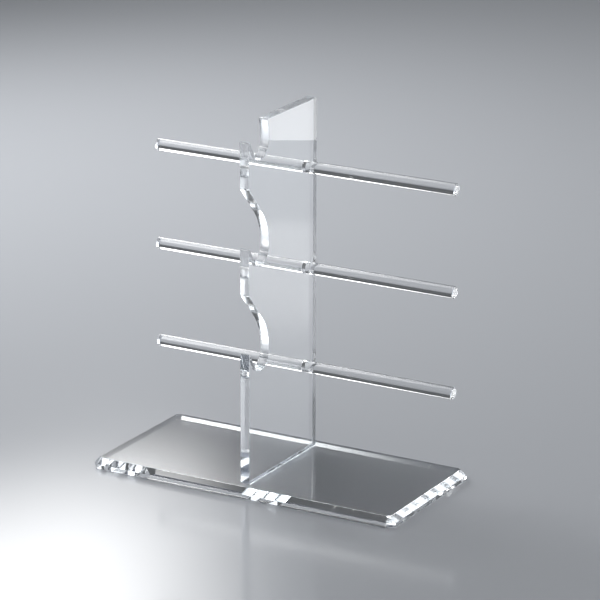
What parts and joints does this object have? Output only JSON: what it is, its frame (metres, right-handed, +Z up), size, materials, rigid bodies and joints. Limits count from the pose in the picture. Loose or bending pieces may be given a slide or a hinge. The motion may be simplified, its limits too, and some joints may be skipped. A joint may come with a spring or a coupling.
{
  "type": "eyeglasses display stand",
  "caption": "Clear acrylic stand: an upright panel with hooked nose rests on a bevelled base, and a push-fit rod behind each rest for the temples.",
  "frame": {"origin": "middle of the base's underside, on the table", "axes": "+X along the rods and the long side of the base, -Y towards the viewer (the side with the nose rests), +Z up"},
  "size_m": [0.168, 0.08, 0.183],
  "materials": {
    "clear_sheet": "polished clear acrylic sheet",
    "clear_rod": "polished clear acrylic rod",
    "cement": "set clear solvent cement"
  },
  "bodies": {
    "stand": {"base_plate": "clear_sheet", "upright_panel": "clear_sheet", "cement_seam": "cement"},
    "top_rod": {"rod_top": "clear_rod"},
    "middle_rod": {"rod_middle": "clear_rod"},
    "bottom_rod": {"rod_bottom": "clear_rod"}
  },
  "joints": [
    {"name": "top_rod_slide", "type": "slide", "parent": "stand", "child": "top_rod", "axis": [1, 0, 0], "range_m": [-0.08, 0.08]},
    {"name": "middle_rod_slide", "type": "slide", "parent": "stand", "child": "middle_rod", "axis": [1, 0, 0], "range_m": [-0.08, 0.08]},
    {"name": "bottom_rod_slide", "type": "slide", "parent": "stand", "child": "bottom_rod", "axis": [1, 0, 0], "range_m": [-0.08, 0.08]}
  ]
}
